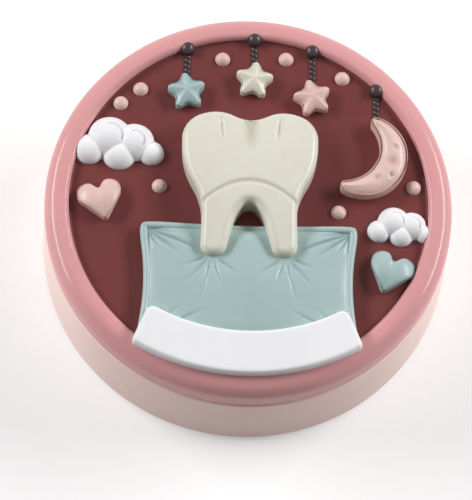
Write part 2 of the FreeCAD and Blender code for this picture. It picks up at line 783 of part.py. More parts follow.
make_base_cup()
make_lid_cap()
make_field_plate()
lid_surface = make_lid_surface()
make_plaque()
make_tooth()
make_pillow()
make_moon()
make_cloud(
    "cloud_left",
    *CLOUD_PLACE_SHARES["cloud_left"],
    size("cloud_width"),
    size("cloud_length"),
    size("cloud_height"),
)
make_cloud(
    "cloud_right",
    *CLOUD_PLACE_SHARES["cloud_right"],
    size("small_cloud_width"),
    size("small_cloud_length"),
    size("small_cloud_height"),
)
for star_name, star_place in STAR_PLACE_SHARES.items():
    make_star(star_name, *star_place)
for heart_name, heart_place in HEART_PLACE_SHARES.items():
    make_heart(heart_name, *heart_place)
for star_name, (across, along, _) in STAR_PLACE_SHARES.items():
    string_name = star_name.replace("star", "string")
    make_string(string_name, field_radius * across, field_radius * along)
tip_x = moon_x + size("moon_radius") * MOON_STRING_SHARES[0]
tip_y = moon_y + size("moon_radius") * MOON_STRING_SHARES[1]
make_string("string_moon", tip_x, tip_y)
make_dots()
write_parts()
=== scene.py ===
"""Looks of a round keepsake box for milk teeth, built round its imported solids.

The cup, the lid, the field, the pillow, the strings and the dots are made again with fine, even faces.
The other motifs of the relief are softened copies of their solids with carved lines, as cast resin has.
Paint, studio and camera follow.
"""
from __future__ import annotations

import logging
import math
from dataclasses import dataclass
from enum import Enum
from typing import Callable, Optional

import bmesh
import bpy
import numpy as np
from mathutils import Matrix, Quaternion, Vector

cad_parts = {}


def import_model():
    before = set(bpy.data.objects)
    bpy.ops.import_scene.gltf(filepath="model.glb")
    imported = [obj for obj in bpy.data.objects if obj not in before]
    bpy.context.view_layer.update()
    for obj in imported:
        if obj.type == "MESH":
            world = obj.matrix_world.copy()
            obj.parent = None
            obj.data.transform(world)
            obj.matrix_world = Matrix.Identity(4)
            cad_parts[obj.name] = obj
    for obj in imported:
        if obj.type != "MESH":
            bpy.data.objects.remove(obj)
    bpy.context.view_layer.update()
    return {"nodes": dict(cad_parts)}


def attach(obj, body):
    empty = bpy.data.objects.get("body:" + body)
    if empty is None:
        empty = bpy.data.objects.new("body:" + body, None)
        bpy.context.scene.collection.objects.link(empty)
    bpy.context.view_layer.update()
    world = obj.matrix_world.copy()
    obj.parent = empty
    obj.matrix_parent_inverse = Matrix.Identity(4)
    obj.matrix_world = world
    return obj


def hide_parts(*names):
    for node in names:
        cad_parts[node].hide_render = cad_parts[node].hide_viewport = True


log = logging.getLogger("tooth_box")

MM = 0.001
# Distances below this count as none.
TINY = 1e-6
# The field's radius in millimetres. Most places on the lid are shares of it.
FIELD = 35.2
# How strongly the cast resin bends light, and how deep its grain is in millimetres.
RESIN_IOR = 1.48
GRAIN_DEPTH = 0.1
# The points' attribute that says where the paint is darkened as painted shade: in carved lines, in pleats and
# at the foot of motifs.
PAINTED_SHADE = "painted_shade"

Piece = bpy.types.Object
Tree = bpy.types.NodeTree
Socket = bpy.types.NodeSocket
Inputs = dict[str | int, object]
Profile = list[tuple[float, float]]
Carving = Callable[[np.ndarray, np.ndarray], np.ndarray]


class Body(Enum):
    """The two rigid bodies of the box."""

    BASE = "base"
    LID = "lid"


class Slot(Enum):
    """The paint slots of the record."""

    BASE_PINK = "base_pink"
    LID_ROSE = "lid_rose"
    FIELD_MAROON = "field_maroon"
    WHITE = "white"
    MINT = "mint"
    CREAM = "cream"
    BLUSH = "blush"
    DARK_BROWN = "dark_brown"


class Kind(Enum):
    """The kinds of named sockets that node groups have here."""

    NUMBER = "NodeSocketFloat"
    VECTOR = "NodeSocketVector"
    COLOUR = "NodeSocketColor"
    MATERIAL = "NodeSocketMaterial"
    GEOMETRY = "NodeSocketGeometry"


def linear(colour: tuple[int, int, int]) -> tuple[float, float, float, float]:
    """Turns an sRGB colour into the linear colour that a shader takes.

    Args:
        colour: Red, green and blue from 0 to 255.

    Returns:
        The linear colour with full alpha.
    """
    parts = [c / 255.0 for c in colour]
    flat = [c / 12.92 if c <= 0.04045 else ((c + 0.055) / 1.055) ** 2.4 for c in parts]
    return (flat[0], flat[1], flat[2], 1.0)


def grey(level: float) -> tuple[float, float, float, float]:
    """A neutral linear colour with full alpha."""
    return (level, level, level, 1.0)


def on_field(across: float, along: float) -> tuple[float, float]:
    """A place on the field in millimetres, from shares of the field's radius."""
    return (across * FIELD, along * FIELD)


def fill(tree: Tree, node: bpy.types.Node, inputs: Inputs) -> None:
    """Gives a node's inputs their values.

    Args:
        tree: The node tree.
        node: The node.
        inputs: A socket to link or a value to set, by the input's name or number.
    """
    for key, value in inputs.items():
        if isinstance(value, Socket):
            tree.links.new(value, node.inputs[key])
        else:
            node.inputs[key].default_value = value


def add(tree: Tree, kind: str, inputs: Optional[Inputs] = None, **settings: object) -> bpy.types.Node:
    """Adds a node to a tree.

    Args:
        tree: The node tree.
        kind: The node's type.
        inputs: A socket to link or a value to set, by the input's name or number.
        **settings: The node's own settings.

    Returns:
        The node.
    """
    node = tree.nodes.new(kind)
    for name, value in settings.items():
        setattr(node, name, value)
    fill(tree, node, inputs or {})
    return node


def new_group(
    name: str, kind: str, inputs: dict[str, Kind], outputs: dict[str, Kind]
) -> tuple[Tree, bpy.types.NodeOutputs]:
    """Starts a node group with named sockets.

    Args:
        name: The group's name.
        kind: The type of its tree.
        inputs: The kind of each input by name.
        outputs: The kind of each output by name.

    Returns:
        The group's tree, and the sockets that its inputs arrive at.
    """
    tree = bpy.data.node_groups.new(name, kind)
    for in_out, sockets in (("INPUT", inputs), ("OUTPUT", outputs)):
        for label, socket in sockets.items():
            tree.interface.new_socket(name=label, in_out=in_out, socket_type=socket.value)
    return tree, add(tree, "NodeGroupInput").outputs


def calculate(tree: Tree, operation: str, *values: Socket | float) -> Socket:
    """Adds a Math node that takes its values in order."""
    return add(tree, "ShaderNodeMath", dict(enumerate(values)), operation=operation).outputs["Value"]


def soft_step(tree: Tree, value: Socket, low: float, high: float) -> Socket:
    """Adds a soft step that rises from 0 at the low mark to 1 at the high one."""
    marks = {"Value": value, "From Min": low, "From Max": high}
    return add(tree, "ShaderNodeMapRange", marks, interpolation_type="SMOOTHSTEP").outputs["Result"]


def noise(tree: Tree, scale: Socket | float, detail: float = 2.0) -> Socket:
    """Adds noise on the piece's own coordinates."""
    place = add(tree, "ShaderNodeTexCoord").outputs["Object"]
    return add(tree, "ShaderNodeTexNoise", {"Vector": place, "Scale": scale, "Detail": detail}).outputs["Fac"]


def blend(tree: Tree, share: Socket, first: Socket, second: Socket) -> Socket:
    """Mixes two shaders: the first where the share is 0, the second where it is 1."""
    return add(tree, "ShaderNodeMixShader", {"Fac": share, 1: first, 2: second}).outputs["Shader"]


@dataclass
class PaintGroups:
    """Shader node groups that every paint shares."""

    cloud_scale: float = 55.0
    cloud_detail: float = 3.0
    brush_scale: float = 420.0
    brush_share: float = 0.35
    tone_range: tuple[float, float] = (0.35, 1.0)
    sheen_spread: float = 0.10
    grain_scale: float = 160.0
    grain_share: float = 0.3

    def __post_init__(self) -> None:
        """Builds each group once."""
        self.mottle_and_shade = self._mottle_and_shade()
        self.grain = self._grain()

    def _mottle_and_shade(self) -> Tree:
        """Uneven hand-brushed paint: broad clouds of tone, painted shade in grooves and at the foot of
        motifs, a changing sheen.

        Returns:
            The group, with outputs Color and Roughness.
        """
        inputs = dict.fromkeys(("Color", "Dark Tone and Shade"), Kind.COLOUR)
        inputs |= dict.fromkeys(("Groove", "Amount", "Roughness"), Kind.NUMBER)
        outputs = {"Color": Kind.COLOUR, "Roughness": Kind.NUMBER}
        tree, given = new_group("brushed_paint_and_shade", "ShaderNodeTree", inputs, outputs)
        clouds = noise(tree, self.cloud_scale, self.cloud_detail)
        brush = noise(tree, self.brush_scale)
        tone = calculate(tree, "MULTIPLY_ADD", brush, self.brush_share, clouds)
        tone = soft_step(tree, tone, *self.tone_range)
        tone = calculate(tree, "MULTIPLY", tone, given["Amount"])
        # Painted shade: where the points are marked, at least that share of the darker colour is mixed in.
        tone = calculate(tree, "MAXIMUM", tone, given["Groove"])
        # The colour sockets of this node share their names with its other kinds, so they go by number.
        colours = {"Factor": tone, 6: given["Color"], 7: given["Dark Tone and Shade"]}
        colour = add(tree, "ShaderNodeMix", colours, data_type="RGBA").outputs[2]
        sheen = calculate(tree, "MULTIPLY_ADD", clouds, self.sheen_spread, given["Roughness"])
        add(tree, "NodeGroupOutput", {"Color": colour, "Roughness": sheen})
        return tree

    def _grain(self) -> Tree:
        """The faint unevenness of cast and painted resin.

        Returns:
            The group, with the output Height.
        """
        inputs, outputs = {"Fineness": Kind.NUMBER}, {"Height": Kind.NUMBER}
        tree, given = new_group("cast_grain", "ShaderNodeTree", inputs, outputs)
        fine = noise(tree, given["Fineness"])
        wide = noise(tree, self.grain_scale)
        height = calculate(tree, "MULTIPLY_ADD", fine, self.grain_share, wide)
        add(tree, "NodeGroupOutput", {"Height": height})
        return tree


@dataclass(frozen=True)
class PaintFinish:
    """One paint on cast resin."""

    slot: Slot
    colour: tuple[int, int, int]
    # The darker colour that the random mottle and the painted shade mix towards.
    dark_tone_and_shade: tuple[int, int, int]
    roughness: float = 0.38
    amount: float = 0.35
    coat: float = 0.15
    coat_roughness: float = 0.16
    specular: float = 0.32
    fineness: float = 900.0
    bump: float = 0.10

    def build(self, groups: PaintGroups) -> bpy.types.Material:
        """Makes the paint's material.

        Args:
            groups: The shared node groups.

        Returns:
            The material.
        """
        material = bpy.data.materials.new(f"paint_{self.slot.value}")
        material.use_nodes = True
        tree = material.node_tree
        brushed = {
            "Color": linear(self.colour),
            "Dark Tone and Shade": linear(self.dark_tone_and_shade),
            # Painted shade from the points' attribute: grooves, pleats and the foot of motifs.
            "Groove": add(tree, "ShaderNodeAttribute", attribute_name=PAINTED_SHADE).outputs["Fac"],
            "Amount": self.amount,
            "Roughness": self.roughness - groups.sheen_spread / 2.0,
        }
        paint = add(tree, "ShaderNodeGroup", node_tree=groups.mottle_and_shade)
        fill(tree, paint, brushed)
        grain = add(tree, "ShaderNodeGroup", {"Fineness": self.fineness}, node_tree=groups.grain)
        uneven = {"Strength": self.bump, "Distance": GRAIN_DEPTH * MM, "Height": grain.outputs["Height"]}
        surface = {
            "Base Color": paint.outputs["Color"],
            "Roughness": paint.outputs["Roughness"],
            "Normal": add(tree, "ShaderNodeBump", uneven).outputs["Normal"],
            "IOR": RESIN_IOR,
            "Specular IOR Level": self.specular,
            "Coat Weight": self.coat,
            "Coat Roughness": self.coat_roughness,
        }
        fill(tree, tree.nodes["Principled BSDF"], surface)
        return material


# Each paint: its own colour, then the darker colour of its mottle and of the painted shade.
FINISHES: tuple[PaintFinish, ...] = (
    PaintFinish(Slot.BASE_PINK, (248, 219, 212), (243, 207, 199), 0.42, coat=0.05, specular=0.18),
    PaintFinish(
        Slot.LID_ROSE,
        (216, 155, 156),
        (206, 141, 143),
        roughness=0.42,
        coat=0.26,
        coat_roughness=0.10,
        specular=0.15,
        bump=0.04,
    ),
    PaintFinish(Slot.FIELD_MAROON, (110, 52, 51), (94, 42, 42), 0.45, 0.5, coat=0.04, specular=0.25),
    PaintFinish(Slot.WHITE, (236, 236, 238), (196, 198, 205), 0.46, 0.12, coat=0.06, specular=0.20),
    PaintFinish(Slot.MINT, (165, 187, 185), (122, 150, 152), roughness=0.40, amount=0.25),
    PaintFinish(Slot.CREAM, (217, 215, 201), (182, 176, 158), roughness=0.36, amount=0.22),
    PaintFinish(Slot.BLUSH, (220, 190, 182), (186, 140, 134), roughness=0.40, amount=0.25),
    PaintFinish(Slot.DARK_BROWN, (62, 46, 46), (40, 28, 28), roughness=0.35, amount=0.4),
)


class PaintShop:
    """Makes every paint once and puts it on pieces."""

    def __init__(self) -> None:
        """Builds the materials."""
        groups = PaintGroups()
        self._paints = {finish.slot: finish.build(groups) for finish in FINISHES}

    def material(self, slot: Slot) -> bpy.types.Material:
        """The material of a slot."""
        return self._paints[slot]

    def dress(self, piece: Piece, slot: Slot, body: Body, *nodes: str) -> None:
        """Paints a piece, makes it ride its body and lets it stand for its nodes.

        Args:
            piece: The finished piece.
            slot: The paint slot that it takes.
            body: The body that it moves with.
            *nodes: The solids that it stands for.
        """
        piece.data.materials.clear()
        piece.data.materials.append(self._paints[slot])
        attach(piece, body.value)
        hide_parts(*nodes)
        log.info("%s: %d faces on %s", piece.name, len(piece.data.polygons), body.value)


def put(name: str, data: bpy.types.ID) -> Piece:
    """Adds an object to the scene, at the origin.

    Args:
        name: The object's name.
        data: Its mesh, lamp or camera.

    Returns:
        The object.
    """
    thing = bpy.data.objects.new(name, data)
    bpy.context.scene.collection.objects.link(thing)
    return thing


def new_piece(name: str, mesh: bpy.types.Mesh) -> Piece:
    """Adds a mesh to the scene, with smooth faces."""
    mesh.polygons.foreach_set("use_smooth", [True] * len(mesh.polygons))
    return put(name, mesh)


def settled(holder: Piece, name: str) -> bpy.types.Mesh:
    """Keeps what an object's modifiers make and takes the object away.

    Args:
        holder: The object with the modifiers.
        name: The kept mesh's name.

    Returns:
        The kept mesh.
    """
    graph = bpy.context.evaluated_depsgraph_get()
    mesh = bpy.data.meshes.new_from_object(holder.evaluated_get(graph))
    mesh.name = name
    bpy.data.objects.remove(holder)
    return mesh


def mark_painted_shade(mesh: bpy.types.Mesh, dark_tone_and_shade: np.ndarray, most: float) -> None:
    """Marks how much painted shade each point takes, as a share of the paint's darker colour, up to a most.
    """
    painted_shade = mesh.attributes.new(PAINTED_SHADE, "FLOAT", "POINT")
    painted_shade.data.foreach_set("value", np.clip(dark_tone_and_shade, 0.0, most))


def arc(centre: tuple[float, float], radius: float, start: float, end: float, steps: int = 10) -> Profile:
    """Points along an arc of a profile.

    Args:
        centre: The arc's centre, as radius and level.
        radius: The arc's radius.
        start: The angle of the first point, in degrees from outwards towards up.
        end: The angle of the last point.
        steps: How many runs the arc has.

    Returns:
        The points.
    """
    angles = [math.radians(start + (end - start) * i / steps) for i in range(steps + 1)]
    return [(centre[0] + radius * math.cos(a), centre[1] + radius * math.sin(a)) for a in angles]


def supported(profile: Profile, near: float = 0.12, shortest: float = 0.48) -> Profile:
    """Adds a point close to each end of every long run, so that shading stays on the roundings.

    Args:
        profile: Points in millimetres.
        near: How close to an end the added point lies.
        shortest: A run that isn't longer than this gets no points.

    Returns:
        The profile with the added points.
    """
    points: Profile = [profile[0]]
    for (r0, z0), (r1, z1) in zip(profile, profile[1:]):
        length = math.hypot(r1 - r0, z1 - z0)
        if length > shortest:
            for share in (near / length, 1.0 - near / length):
                points.append((r0 + (r1 - r0) * share, z0 + (z1 - z0) * share))
        points.append((r1, z1))
    return points


def lathe(name: str, profile: Profile, segments: int = 256) -> Piece:
    """Turns a closed profile round the Z axis into a shell with closed poles.

    Args:
        name: The piece's name.
        profile: Points in millimetres from one pole on the axis to the other.
        segments: How many steps the turn has.

    Returns:
        The piece.
    """
    bm = bmesh.new()
    rings: list[list[bmesh.types.BMVert]] = []
    for radius, level in supported(profile):
        if radius < TINY:
            rings.append([bm.verts.new((0.0, 0.0, level * MM))])
            continue
        angles = [2.0 * math.pi * i / segments for i in range(segments)]
        place = [(radius * MM * math.cos(a), radius * MM * math.sin(a), level * MM) for a in angles]
        rings.append([bm.verts.new(p) for p in place])
    for low, high in zip(rings, rings[1:]):
        for i in range(segments):
            j = (i + 1) % segments
            corners = [low[i % len(low)], low[j % len(low)], high[j % len(high)], high[i % len(high)]]
            bm.faces.new(list(dict.fromkeys(corners)))
    bmesh.ops.recalc_face_normals(bm, faces=bm.faces)
    mesh = bpy.data.meshes.new(name)
    bm.to_mesh(mesh)
    bm.free()
    return new_piece(name, mesh)


@dataclass
class BaseCup:
    """The cast cup, in millimetres."""

    mouth: float = 40.25
    height: float = 18.8
    taper: float = 0.5
    wall: float = 4.5
    floor: float = 4.0
    cavity_round: float = 4.0
    foot_round: float = 1.8
    foot_ring: float = 5.0
    foot_recess: float = 1.0
    recess_break: float = 0.2
    ring_break: float = 0.15
    seam_round: float = 0.5
    mouth_round: float = 0.8
    edge_steps: int = 6

    def profile(self) -> Profile:
        """The cup's section.

        Returns:
            Its points, from the middle of the underside to the middle of the floor.
        """
        foot = self.mouth + self.taper
        ring = foot - self.foot_ring
        inside = self.mouth - self.wall
        edge, lip, slope = self.seam_round, self.mouth_round, self.taper / self.height
        points: Profile = [(0.0, self.foot_recess), (ring - self.recess_break, self.foot_recess)]
        points.append((ring, self.foot_recess - self.recess_break))
        points += [(ring, self.ring_break), (ring + self.ring_break, 0.0)]
        heel = (foot - self.foot_round * (1.0 + slope), self.foot_round)
        points += arc(heel, self.foot_round, -90.0, math.degrees(math.atan(slope)))
        points += arc((self.mouth - edge, self.height - edge), edge, 0.0, 90.0, self.edge_steps)
        points += arc((inside + lip, self.height - lip), lip, 90.0, 180.0, self.edge_steps)
        low = self.floor + self.cavity_round
        points += arc((inside - self.cavity_round, low), self.cavity_round, 0.0, -90.0)
        return points + [(0.0, self.floor)]

    def build(self, shop: PaintShop) -> None:
        """Makes the cup and paints it."""
        shop.dress(lathe("cup", self.profile()), Slot.BASE_PINK, Body.BASE, "base_cup")


@dataclass
class Lid:
    """The cast lid and the field in it, in millimetres."""

    radius: float = 40.0
    seam: float = 18.8
    rim: float = 25.6
    shoulder: float = 3.0
    shoulder_steps: int = 16
    rim_round: float = 1.2
    field_radius: float = FIELD
    field_level: float = 24.0
    field_floor: float = 22.6
    field_gap: float = 0.05
    field_cove: float = 0.35
    cove_steps: int = 8
    seam_round: float = 0.5
    seam_steps: int = 6
    spigot_outside: float = 35.35
    spigot_wall: float = 3.2
    spigot_depth: float = 4.0
    spigot_lead: float = 0.8
    spigot_break: float = 0.2

    def profile(self) -> Profile:
        """The lid's section.

        Returns:
            Its points, from the middle of the underside to the middle of the recess.
        """
        inside = self.spigot_outside - self.spigot_wall
        low, lead, edge = self.seam - self.spigot_depth, self.spigot_lead, self.seam_round
        corner = self.spigot_break
        points: Profile = [(0.0, self.seam), (inside - corner, self.seam), (inside, self.seam - corner)]
        points += [(inside, low + corner), (inside + corner, low), (self.spigot_outside - lead, low)]
        points += [(self.spigot_outside, low + lead), (self.spigot_outside, self.seam)]
        points += arc((self.radius - edge, self.seam + edge), edge, -90.0, 0.0, self.seam_steps)
        shoulder = (self.radius - self.shoulder, self.rim - self.shoulder)
        points += arc(shoulder, self.shoulder, 0.0, 90.0, self.shoulder_steps)
        inner = (self.field_radius + self.rim_round, self.rim - self.rim_round)
        points += arc(inner, self.rim_round, 90.0, 180.0)
        return points + [(self.field_radius, self.field_floor), (0.0, self.field_floor)]

    def surface(self, radii: np.ndarray) -> np.ndarray:
        """How high the lid's upper surface is at each radius.

        Args:
            radii: Distances from the axis, in millimetres.

        Returns:
            Levels, in millimetres.
        """
        level = np.full_like(radii, self.field_level)
        inner = self.field_radius + self.rim_round
        rise = np.sqrt(np.clip(self.rim_round**2 - (inner - radii) ** 2, 0.0, None))
        fall = self.radius - self.shoulder
        drop = np.sqrt(np.clip(self.shoulder**2 - (radii - fall) ** 2, 0.0, None))
        level = np.where(radii >= self.field_radius, self.rim - self.rim_round + rise, level)
        level = np.where(radii >= inner, self.rim, level)
        return np.where(radii >= fall, self.rim - self.shoulder + drop, level)

    def build(self, shop: PaintShop) -> None:
        """Makes the lid and its field and paints them.

        Args:
            shop: The paint shop.
        """
        shop.dress(lathe("lid", self.profile()), Slot.LID_ROSE, Body.LID, "lid_cap")
        reach, cove = self.field_radius - self.field_gap, self.field_cove
        plate = [(0.0, self.field_floor), (reach, self.field_floor)]
        plate += arc((reach - cove, self.field_level + cove), cove, 0.0, -90.0, self.cove_steps)
        plate.append((0.0, self.field_level))
        shop.dress(lathe("field", plate), Slot.FIELD_MAROON, Body.LID, "field_plate")


def groove_line(distance: np.ndarray, width: float, depth: float) -> np.ndarray:
    """The depth of a soft carved line at each distance from its middle."""
    return depth * np.exp(-((distance / width) ** 2))


def ramp(value: np.ndarray, run: float) -> np.ndarray:
    """Rises evenly from 0 to 1 over a run."""
    return np.clip(value / run, 0.0, 1.0)


@dataclass(frozen=True)
class ToothLines:
    """The dip between the tooth's cusps, two short cuts in its crown and the line of its neck."""

    dip: tuple[float, float] = (1.2, 0.85)
    dip_from: float = 5.0
    dip_run: float = 8.0
    cut: tuple[float, float] = (0.42, 0.42)
    cut_at: tuple[float, float] = (5.4, 9.0)
    cut_lean: float = 0.10
    cut_ends: tuple[float, float] = (7.0, 14.0)
    cut_runs: tuple[float, float] = (3.0, 2.0)
    neck: tuple[float, float] = (0.45, 0.34)
    neck_level: float = -0.6
    neck_bow: float = 0.05
    neck_reach: float = 10.6
    neck_run: float = 1.0

    def __call__(self, x: np.ndarray, y: np.ndarray) -> np.ndarray:
        """How deep the lines are.

        Args:
            x: Places across from the motif's middle.
            y: Places along.

        Returns:
            Depths.
        """
        dip = groove_line(x, *self.dip) * ramp(y - self.dip_from, self.dip_run)
        middle = self.cut_at[0] + self.cut_lean * (y - self.cut_at[1])
        starts = ramp(y - self.cut_ends[0], self.cut_runs[0])
        ends = ramp(self.cut_ends[1] - y, self.cut_runs[1])
        cuts = groove_line(np.abs(x) - middle, *self.cut) * starts * ends
        neck = groove_line(y - self.neck_level + self.neck_bow * x**2, *self.neck)
        neck = neck * ramp(self.neck_reach - np.abs(x), self.neck_run)
        return np.maximum(np.maximum(dip, cuts), neck)


@dataclass(frozen=True)
class MoonDimples:
    """A few round dimples: each one's place and radius, and the depth of all."""

    dimples: tuple[tuple[float, float, float], ...] = (
        (5.6, 0.8, 0.9),
        (4.4, -3.6, 0.7),
        (5.0, 3.9, 0.55),
        (6.6, -1.9, 0.45),
    )
    depth: float = 0.42

    def __call__(self, x: np.ndarray, y: np.ndarray) -> np.ndarray:
        """How deep the dimples are.

        Args:
            x: Places across from the motif's middle.
            y: Places along.

        Returns:
            Depths.
        """
        deepest = np.zeros_like(x)
        for at_x, at_y, radius in self.dimples:
            deepest = np.maximum(deepest, groove_line(np.hypot(x - at_x, y - at_y), radius, self.depth))
        return deepest


@dataclass(frozen=True)
class MoonPuff:
    """The fall of the moon's top from its middle line towards both of its edges."""

    radius: float = 8.6
    bite_at: float = -4.6
    bite_radius: float = 7.4
    fall: float = 1.3
    half_width: float = 2.9

    def __call__(self, x: np.ndarray, y: np.ndarray) -> np.ndarray:
        """How far the top falls at places from the motif's middle."""
        inward = np.minimum(self.radius - np.hypot(x, y), np.hypot(x - self.bite_at, y) - self.bite_radius)
        return self.fall * np.clip(1.0 - inward / self.half_width, 0.0, 1.0) ** 2


@dataclass(frozen=True)
class StarFacets:
    """Ridges that run out to a star's points."""

    depth: float = 0.55
    reach: float = 3.0
    points: int = 5

    def __call__(self, x: np.ndarray, y: np.ndarray) -> np.ndarray:
        """How deep the facets are between the ridges, at places from the motif's middle."""
        angle = np.arctan2(y, x) - math.pi / 2.0
        return self.depth * ramp(np.hypot(x, y), self.reach) * np.abs(np.sin(self.points / 2.0 * angle))


@dataclass(frozen=True)
class HeartPuff:
    """The fall of a heart's top from its two lobes, with a soft dip between them."""

    lobe_at: tuple[float, float] = (1.5, 0.9)
    lobe_size: tuple[float, float] = (3.0, 3.9)
    fall: float = 0.55
    furthest: float = 1.5
    dip: tuple[float, float] = (0.7, 0.22)
    dip_run: float = 2.0

    def __call__(self, x: np.ndarray, y: np.ndarray) -> np.ndarray:
        """How far the top falls.

        Args:
            x: Places across from the motif's middle.
            y: Places along.

        Returns:
            Depths.
        """
        across = (np.abs(x) - self.lobe_at[0]) / self.lobe_size[0]
        lobe = np.hypot(across, (y - self.lobe_at[1]) / self.lobe_size[1])
        dip = groove_line(x, *self.dip) * ramp(y, self.dip_run)
        return self.fall * np.clip(lobe, 0.0, self.furthest) ** 2 + dip


@dataclass(frozen=True)
class CloudCurls:
    """Small curls in two of a cloud's puffs: each one's place, radius and first angle."""

    curls: tuple[tuple[float, float, float, float], ...] = (
        (-1.4, 1.0, 2.2, -30.0),
        (3.4, 0.1, 1.8, -40.0),
    )
    last: float = 110.0
    line: tuple[float, float] = (0.3, 0.34)

    def __call__(self, x: np.ndarray, y: np.ndarray) -> np.ndarray:
        """How deep the curls are.

        Args:
            x: Places across from the motif's middle.
            y: Places along.

        Returns:
            Depths.
        """
        deepest = np.zeros_like(x)
        for at_x, at_y, radius, first in self.curls:
            ring = np.abs(np.hypot(x - at_x, y - at_y) - radius)
            angle = np.degrees(np.arctan2(y - at_y, x - at_x))
            inside = (angle > first) & (angle < self.last)
            deepest = np.maximum(deepest, groove_line(ring, *self.line) * inside)
        return deepest


@dataclass(frozen=True)
class Motif:
    """One motif of the relief: the solid that it softens, its paint and its carved lines."""

    node: str
    slot: Slot
    carving: Optional[Carving] = None
    middle: tuple[float, float] = (0.0, 0.0)
    turn: float = 0.0
    scale: float = 1.0
    voxel: float = 0.2
    puffing: Optional[Carving] = None


# Places that a motif shares with the string that it hangs from, or that its solid fixes.
STAR_LEFT = on_field(-0.36, 0.66)
STAR_MIDDLE = on_field(0.02, 0.74)
STAR_RIGHT = on_field(0.35, 0.64)
TOOTH_MIDDLE = (0.0, 3.0)
MOON_MIDDLE = (22.47, 10.0)
MOON_HOOK = (25.05, 17.3)

MOTIFS: tuple[Motif, ...] = (
    Motif("plaque", Slot.WHITE),
    Motif("tooth", Slot.CREAM, ToothLines(), TOOTH_MIDDLE),
    Motif("moon", Slot.BLUSH, MoonDimples(), MOON_MIDDLE, -24.0, voxel=0.15, puffing=MoonPuff()),
    Motif("cloud_left", Slot.WHITE, CloudCurls(), on_field(-0.74, 0.34), voxel=0.15),
    Motif("cloud_right", Slot.WHITE, CloudCurls(), on_field(0.84, -0.12), scale=0.72, voxel=0.12),
    Motif("star_left", Slot.MINT, StarFacets(), STAR_LEFT, 8.0, voxel=0.1),
    Motif("star_middle", Slot.CREAM, StarFacets(), STAR_MIDDLE, -6.0, voxel=0.1),
    Motif("star_right", Slot.BLUSH, StarFacets(), STAR_RIGHT, 14.0, voxel=0.1),
    Motif("heart_left", Slot.BLUSH, None, on_field(-0.82, -0.02), 16.0, voxel=0.1, puffing=HeartPuff()),
    Motif("heart_right", Slot.MINT, None, on_field(0.78, -0.41), -20.0, voxel=0.1, puffing=HeartPuff()),
)


@dataclass
class Relief:
    """The raised motifs that are softened copies of their solids, in millimetres."""

    lid: Lid
    sink: float = 0.8
    seat_gap: float = 0.06
    smoothing: int = 6
    upward_from: float = 0.2
    upward_run: float = 0.4
    # Painted shade: carved lines, and the foot of each motif where it meets the lid, are painted darker.
    shade_gain: float = 1.6
    shade_most: float = 0.85
    foot_shade: float = 0.7
    foot_reach: float = 1.0

    def _copy(self, motif: Motif, node: Piece) -> Piece:
        """Copies a solid, sinks its seat into the lid and makes its faces fine and even.

        Args:
            motif: The motif.
            node: The solid's object.

        Returns:
            The softened piece.
        """
        bm = bmesh.new()
        bm.from_mesh(node.data)
        bmesh.ops.remove_doubles(bm, verts=bm.verts, dist=TINY)
        for vert in bm.verts:
            radius = np.array([math.hypot(vert.co.x, vert.co.y) / MM])
            if vert.co.z / MM - self.lid.surface(radius)[0] < self.seat_gap:
                vert.co.z -= self.sink * MM
        rough = bpy.data.meshes.new(f"{motif.node}_rough")
        bm.to_mesh(rough)
        bm.free()
        holder, pattern = new_piece(f"{motif.node}_holder", rough), new_piece(f"{motif.node}_pattern", rough)
        remesh = holder.modifiers.new("even", "REMESH")
        remesh.mode = "VOXEL"
        remesh.voxel_size = motif.voxel * MM
        wrap = holder.modifiers.new("true", "SHRINKWRAP")
        wrap.target = pattern
        smooth = holder.modifiers.new("soften", "SMOOTH")
        smooth.iterations = self.smoothing
        mesh = settled(holder, motif.node)
        bpy.data.objects.remove(pattern)
        return new_piece(f"relief_{motif.node}", mesh)

    def _carve(self, motif: Motif, piece: Piece) -> None:
        """Cuts a motif's lines into its upper faces and marks painted shade in them and at the motif's foot.

        Args:
            motif: The motif.
            piece: Its softened piece.
        """
        mesh = piece.data
        count = len(mesh.vertices)
        place, normal = np.empty(count * 3), np.empty(count * 3)
        mesh.vertices.foreach_get("co", place)
        mesh.vertices.foreach_get("normal", normal)
        place, normal = place.reshape(-1, 3), normal.reshape(-1, 3)
        x = place[:, 0] / MM - motif.middle[0]
        y = place[:, 1] / MM - motif.middle[1]
        turn = math.radians(-motif.turn)
        own_x = (x * math.cos(turn) - y * math.sin(turn)) / motif.scale
        own_y = (x * math.sin(turn) + y * math.cos(turn)) / motif.scale
        upward = ramp(normal[:, 2] - self.upward_from, self.upward_run) * motif.scale
        depth, drop = np.zeros(count), np.zeros(count)
        if motif.carving is not None:
            depth = motif.carving(own_x, own_y) * upward
        if motif.puffing is not None:
            drop = motif.puffing(own_x, own_y) * upward
        place[:, 2] -= (depth + drop) * MM
        mesh.vertices.foreach_set("co", place.ravel())
        # Painted shade: darker in the carved lines, and darker towards the motif's foot over the last
        # foot_reach above the lid.
        above = place[:, 2] / MM - self.lid.surface(np.hypot(place[:, 0], place[:, 1]) / MM)
        foot = self.foot_shade * np.clip(1.0 - above / self.foot_reach, 0.0, 1.0)
        mark_painted_shade(mesh, np.maximum(depth * self.shade_gain, foot), self.shade_most)
        mesh.update()

    def build(self, shop: PaintShop, nodes: dict[str, Piece]) -> None:
        """Makes every motif and paints it.

        Args:
            shop: The paint shop.
            nodes: The solids' objects by name.
        """
        for motif in MOTIFS:
            piece = self._copy(motif, nodes[motif.node])
            self._carve(motif, piece)
            shop.dress(piece, motif.slot, Body.LID, motif.node)


